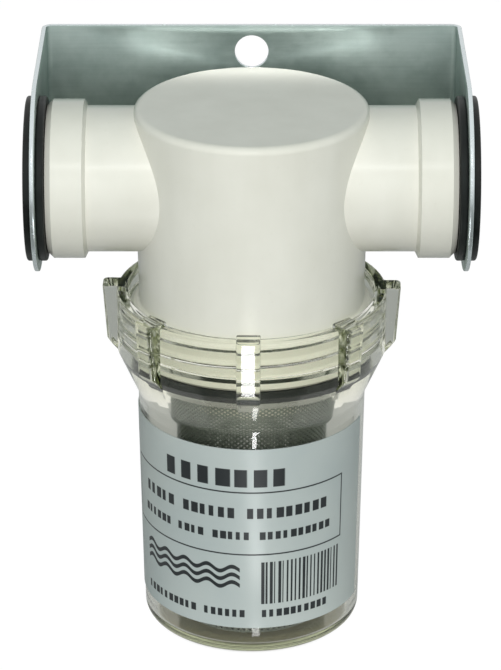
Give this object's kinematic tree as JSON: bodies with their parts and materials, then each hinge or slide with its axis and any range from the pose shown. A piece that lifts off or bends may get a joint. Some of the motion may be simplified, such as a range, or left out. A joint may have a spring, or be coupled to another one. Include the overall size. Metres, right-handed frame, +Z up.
{
  "type": "water pump strainer",
  "caption": "Inlet strainer with a white tee-shaped head, a clear screw-on bowl over a perforated basket, and a folded wall bracket with rubber grommets.",
  "frame": {"origin": "centre of the bowl's foot, where it rests on a surface", "axes": "+Z up along the bowl's axis, +X along the port axis from the inlet to the outlet, +Y towards the wall behind the bracket"},
  "size_m": [0.1104, 0.08, 0.1443],
  "materials": {
    "white_moulding": "smooth, slightly glossy ivory white moulding",
    "clear_moulding": "clear moulding with a faint yellow-olive tint",
    "label_film": "silver-grey film",
    "seal_rubber": "matt black",
    "basket_steel": "fine perforated stainless sheet",
    "basket_band": "pressed stainless sheet",
    "bracket_sheet": "mottled greenish-grey zinc sheet",
    "grommet_rubber": "satin near-black rubber"
  },
  "bodies": {
    "head": {"head": "white_moulding"},
    "bracket": {"bracket": "bracket_sheet", "inlet_grommet": "grommet_rubber", "outlet_grommet": "grommet_rubber"},
    "seal": {"bowl_seal": "seal_rubber"},
    "bowl": {"bowl": "clear_moulding", "label": "label_film", "basket_screen": "basket_steel", "basket_rim": "basket_band", "basket_base": "basket_band"}
  },
  "joints": [
    {"name": "bowl_lower", "type": "slide", "parent": "head", "child": "seal", "axis": [0, 0, -1], "range_m": [0, 0.0105]},
    {"name": "bowl_turn", "type": "hinge", "parent": "seal", "child": "bowl", "pos_m": [0, 0, 0.073], "axis": [0, 0, -1], "range_deg": [0, 900]},
    {"name": "bracket_swing", "type": "hinge", "parent": "head", "child": "bracket", "pos_m": [0, 0, 0.1191], "axis": [1, 0, 0], "range_deg": [-8, 188]}
  ],
  "couplings": [
    {"joint": "bowl_lower", "follows": "bowl_turn", "m_per_rad": 0.00066845}
  ]
}
